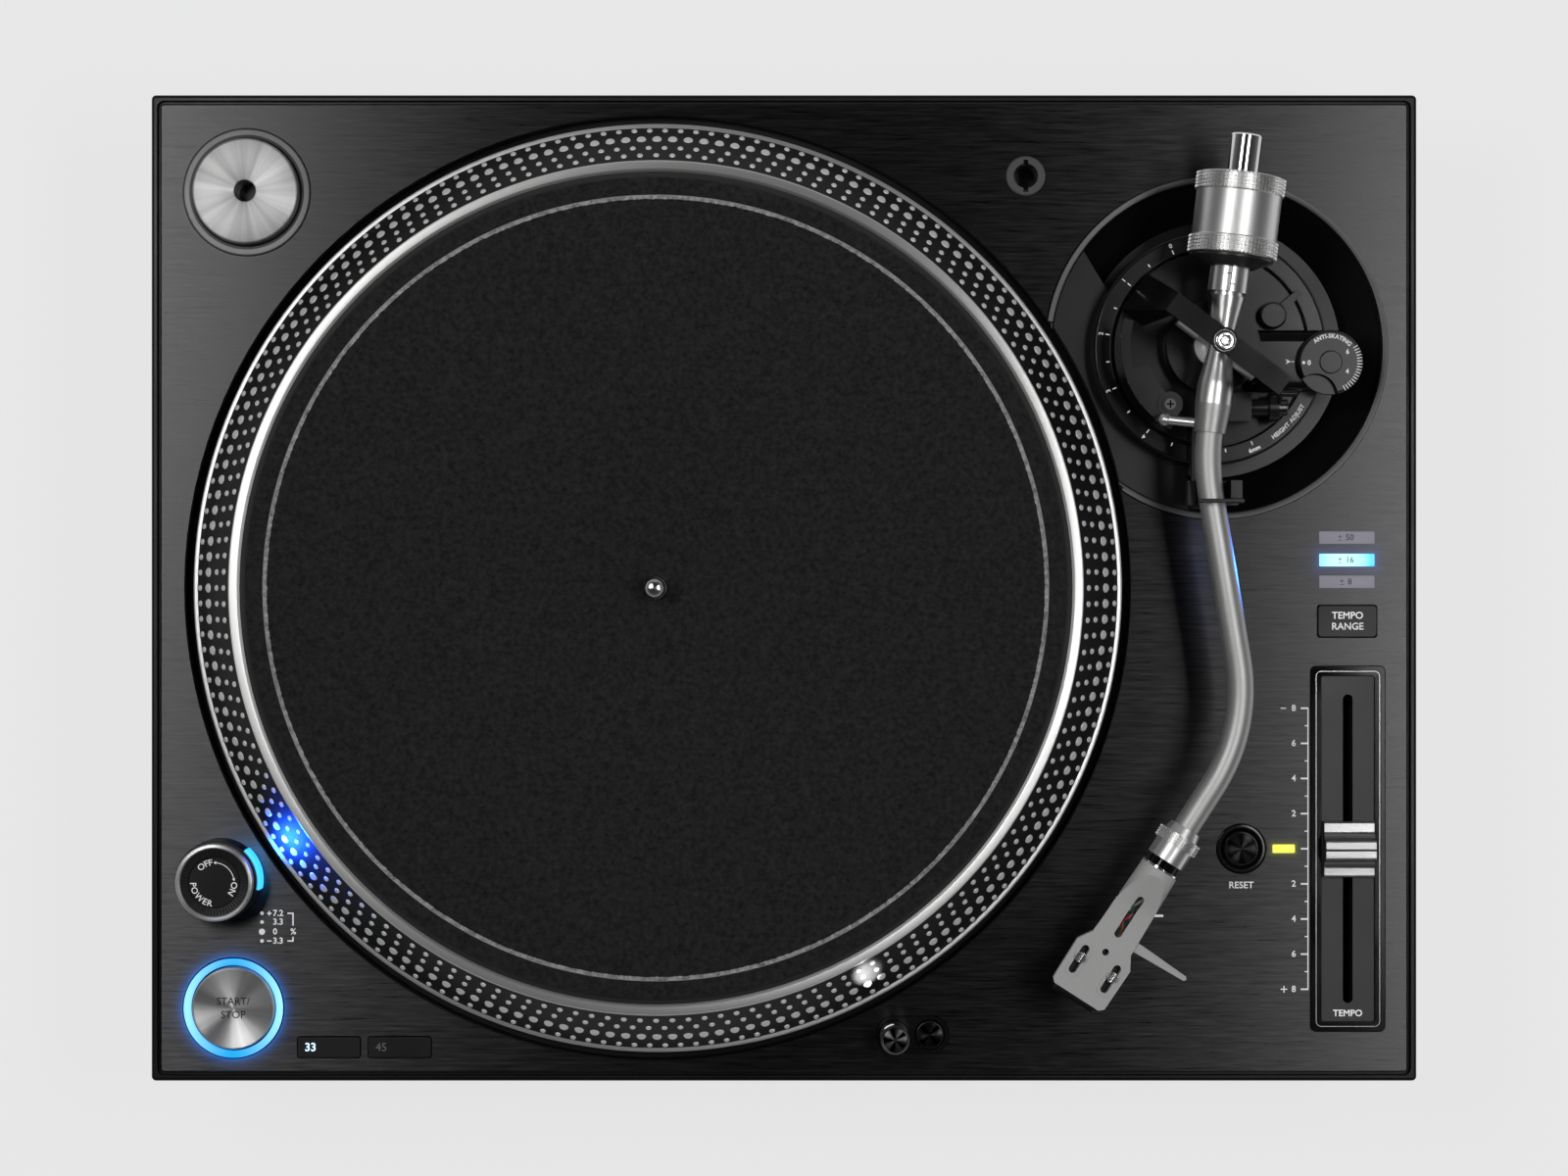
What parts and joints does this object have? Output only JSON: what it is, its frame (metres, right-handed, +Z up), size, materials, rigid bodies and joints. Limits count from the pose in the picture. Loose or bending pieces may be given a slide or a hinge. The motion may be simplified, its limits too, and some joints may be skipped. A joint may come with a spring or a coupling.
{
  "type": "dj turntable",
  "caption": "Direct drive record deck with a bevelled strobe platter, felt slipmat, S shaped tonearm, tempo fader, start and speed buttons and a pop-up light.",
  "frame": {"origin": "middle of the case in plan, on the surface the feet stand on", "axes": "+X to the tonearm side, +Y to the back with the sockets, +Z up"},
  "size_m": [0.453, 0.353, 0.1621],
  "materials": {
    "black_casting": "satin",
    "brushed_black": "satin",
    "black_moulding": "matte",
    "cover_sheet": "matte",
    "bright_steel": "satin",
    "bright_chrome": "polished",
    "platter_metal": "satin",
    "silver_metal": "satin",
    "dark_metal": "satin",
    "black_gloss": "gloss",
    "black_button": "satin",
    "lit_blue": "gloss",
    "felt": "matte",
    "foot_rubber": "matte",
    "board_green": "satin",
    "magnet": "matte",
    "steel_shaft": "polished",
    "phono_metal": "polished"
  },
  "bodies": {
    "case": {"isolation_base": "black_moulding", "bottom_cover": "cover_sheet", "case_screws": "bright_steel", "chassis_casting": "black_casting", "deck_plate": "brushed_black", "jack_panel": "black_moulding", "power_inlet": "black_gloss", "signal_jacks": "phono_metal", "circuit_boards": "board_green", "power_supply": "cover_sheet", "bearing_housing": "phono_metal", "motor_stator": "magnet", "power_tower": "dark_metal", "strobe_window": "lit_blue", "start_stop_ring": "lit_blue", "reset_ring": "black_gloss", "indicator_lamps": "lit_blue", "adapter_cup": "black_gloss", "target_light_plate": "black_gloss", "headshell_holder": "silver_metal", "tempo_bezel": "black_gloss", "fader_unit": "black_moulding", "tonearm_well": "black_moulding"},
    "platter": {"platter": "platter_metal", "rotor_magnet": "magnet", "spindle": "steel_shaft"},
    "slipmat": {"slipmat": "felt"},
    "adapter": {"adapter_45": "silver_metal"},
    "power_knob": {"power_knob": "dark_metal"},
    "start_stop_button": {"start_stop_button": "silver_metal"},
    "button_33": {"button_33": "black_button"},
    "button_45": {"button_45": "black_button"},
    "tempo_range_button": {"tempo_range_button": "black_button"},
    "reset_button": {"reset_button": "black_button"},
    "target_light_button": {"target_light_button": "black_button"},
    "fader": {"fader_knob": "silver_metal"},
    "target_light": {"target_light": "silver_metal"},
    "foot_front_left": {"foot_front_left": "foot_rubber"},
    "foot_front_right": {"foot_front_right": "foot_rubber"},
    "foot_rear_left": {"foot_rear_left": "foot_rubber"},
    "foot_rear_right": {"foot_rear_right": "foot_rubber"},
    "height_ring": {"height_ring": "dark_metal"},
    "arm_base": {"arm_base": "dark_metal", "gimbal_bridge": "dark_metal", "arm_rest": "black_gloss"},
    "anti_skate_dial": {"anti_skate_dial": "black_moulding"},
    "lock_lever": {"lock_lever": "black_moulding"},
    "cue_lever": {"cue_lever": "black_moulding"},
    "lift_bar": {"lift_bar": "dark_metal"},
    "rest_latch": {"rest_latch": "black_moulding"},
    "gimbal_yoke": {"gimbal_yoke": "bright_chrome"},
    "arm": {"arm_sleeve": "silver_metal", "arm_tube": "silver_metal"},
    "weight_bush": {"weight_bush": "phono_metal"},
    "counterweight": {"counterweight": "bright_chrome"},
    "weight_dial": {"weight_dial": "dark_metal"},
    "headshell_nut": {"headshell_nut": "silver_metal"},
    "headshell": {"headshell": "silver_metal", "headshell_screws": "bright_chrome", "cartridge": "black_gloss"}
  },
  "joints": [
    {"name": "platter_spin", "type": "hinge", "parent": "case", "child": "platter", "pos_m": [-0.0452, 0, 0.12], "axis": [0, 0, 1], "continuous": true},
    {"name": "slipmat_slip", "type": "hinge", "parent": "platter", "child": "slipmat", "pos_m": [-0.0452, 0, 0.1246], "axis": [0, 0, 1], "continuous": true},
    {"name": "adapter_lift", "type": "slide", "parent": "case", "child": "adapter", "axis": [0, 0, 1], "range_m": [0, 0.03]},
    {"name": "power_turn", "type": "hinge", "parent": "case", "child": "power_knob", "pos_m": [-0.2013, -0.1041, 0.12], "axis": [0, 0, 1], "range_deg": [0, 60]},
    {"name": "start_stop_press", "type": "slide", "parent": "case", "child": "start_stop_button", "axis": [0, 0, -1], "range_m": [0, 0.0015], "stiffness_N_per_m": 500, "springref_m": -0.002},
    {"name": "button_33_press", "type": "slide", "parent": "case", "child": "button_33", "axis": [0, 0, -1], "range_m": [0, 0.0015], "stiffness_N_per_m": 500, "springref_m": -0.002},
    {"name": "button_45_press", "type": "slide", "parent": "case", "child": "button_45", "axis": [0, 0, -1], "range_m": [0, 0.0015], "stiffness_N_per_m": 500, "springref_m": -0.002},
    {"name": "tempo_range_press", "type": "slide", "parent": "case", "child": "tempo_range_button", "axis": [0, 0, -1], "range_m": [0, 0.0015], "stiffness_N_per_m": 500, "springref_m": -0.002},
    {"name": "reset_press", "type": "slide", "parent": "case", "child": "reset_button", "axis": [0, 0, -1], "range_m": [0, 0.0015], "stiffness_N_per_m": 500, "springref_m": -0.002},
    {"name": "target_button_press", "type": "slide", "parent": "case", "child": "target_light_button", "axis": [0, 0, -1], "range_m": [0, 0.0015], "stiffness_N_per_m": 500, "springref_m": -0.002},
    {"name": "tempo_slide", "type": "slide", "parent": "case", "child": "fader", "axis": [0, 1, 0], "range_m": [-0.05, 0.05]},
    {"name": "target_light_rise", "type": "slide", "parent": "case", "child": "target_light", "axis": [0, 0, 1], "range_m": [-0.0155, 0]},
    {"name": "foot_front_left_screw", "type": "slide", "parent": "case", "child": "foot_front_left", "axis": [0, 0, 1], "range_m": [-0.008, 0]},
    {"name": "foot_front_right_screw", "type": "slide", "parent": "case", "child": "foot_front_right", "axis": [0, 0, 1], "range_m": [-0.008, 0]},
    {"name": "foot_rear_left_screw", "type": "slide", "parent": "case", "child": "foot_rear_left", "axis": [0, 0, 1], "range_m": [-0.008, 0]},
    {"name": "foot_rear_right_screw", "type": "slide", "parent": "case", "child": "foot_rear_right", "axis": [0, 0, 1], "range_m": [-0.008, 0]},
    {"name": "arm_height", "type": "slide", "parent": "case", "child": "arm_base", "axis": [0, 0, 1], "range_m": [0, 0.006]},
    {"name": "height_ring_turn", "type": "hinge", "parent": "case", "child": "height_ring", "pos_m": [0.1512, 0.0849, 0.11], "axis": [0, 0, 1], "range_deg": [-183.5, 0.5]},
    {"name": "lock_turn", "type": "hinge", "parent": "arm_base", "child": "lock_lever", "pos_m": [0.1729, 0.0964, 0.12], "axis": [0, 0, 1], "range_deg": [0, 70]},
    {"name": "cue_lever_turn", "type": "hinge", "parent": "arm_base", "child": "cue_lever", "pos_m": [0.1612, 0.0635, 0.126], "axis": [1, 0, 0], "range_deg": [0, 90]},
    {"name": "lift_bar_rise", "type": "slide", "parent": "arm_base", "child": "lift_bar", "axis": [0, 0, 1], "range_m": [0, 0.0025]},
    {"name": "anti_skate_turn", "type": "hinge", "parent": "arm_base", "child": "anti_skate_dial", "pos_m": [0.1919, 0.0793, 0.13], "axis": [0, 0, 1], "range_deg": [-225, 0]},
    {"name": "arm_yaw", "type": "hinge", "parent": "arm_base", "child": "gimbal_yoke", "pos_m": [0.1512, 0.0849, 0.13], "axis": [0, 0, 1], "range_deg": [-45, 0]},
    {"name": "arm_pitch", "type": "hinge", "parent": "gimbal_yoke", "child": "arm", "pos_m": [0.1512, 0.0849, 0.147], "axis": [-0.8007, 0.599, 0], "range_deg": [-0.75, 3.5]},
    {"name": "weight_travel", "type": "slide", "parent": "arm", "child": "weight_bush", "axis": [0.1236, 0.9923, 0], "range_m": [0, 0.012]},
    {"name": "weight_turn", "type": "hinge", "parent": "weight_bush", "child": "counterweight", "pos_m": [0.15664, 0.12856, 0.147], "axis": [0.1236, 0.9923, 0], "range_deg": [0, 2268]},
    {"name": "force_dial_turn", "type": "hinge", "parent": "counterweight", "child": "weight_dial", "pos_m": [0.15491, 0.11467, 0.147], "axis": [0.1236, 0.9923, 0], "continuous": true},
    {"name": "nut_turn", "type": "hinge", "parent": "arm", "child": "headshell_nut", "pos_m": [0.1312, -0.0953, 0.147], "axis": [-0.5402, -0.8415, 0], "range_deg": [0, 30]},
    {"name": "headshell_pull", "type": "slide", "parent": "arm", "child": "headshell", "axis": [-0.5402, -0.8415, 0], "range_m": [0, 0.012]},
    {"name": "rest_latch_turn", "type": "hinge", "parent": "arm_base", "child": "rest_latch", "pos_m": [0.1565, 0.035, 0.146], "axis": [0, 1, 0], "range_deg": [0, 100]}
  ],
  "couplings": [
    {"joint": "height_ring_turn", "follows": "arm_height", "rad_per_m": -532.3},
    {"joint": "cue_lever_turn", "follows": "lift_bar_rise", "rad_per_m": 628.32},
    {"joint": "weight_travel", "follows": "weight_turn", "m_per_rad": 0.00030239}
  ]
}
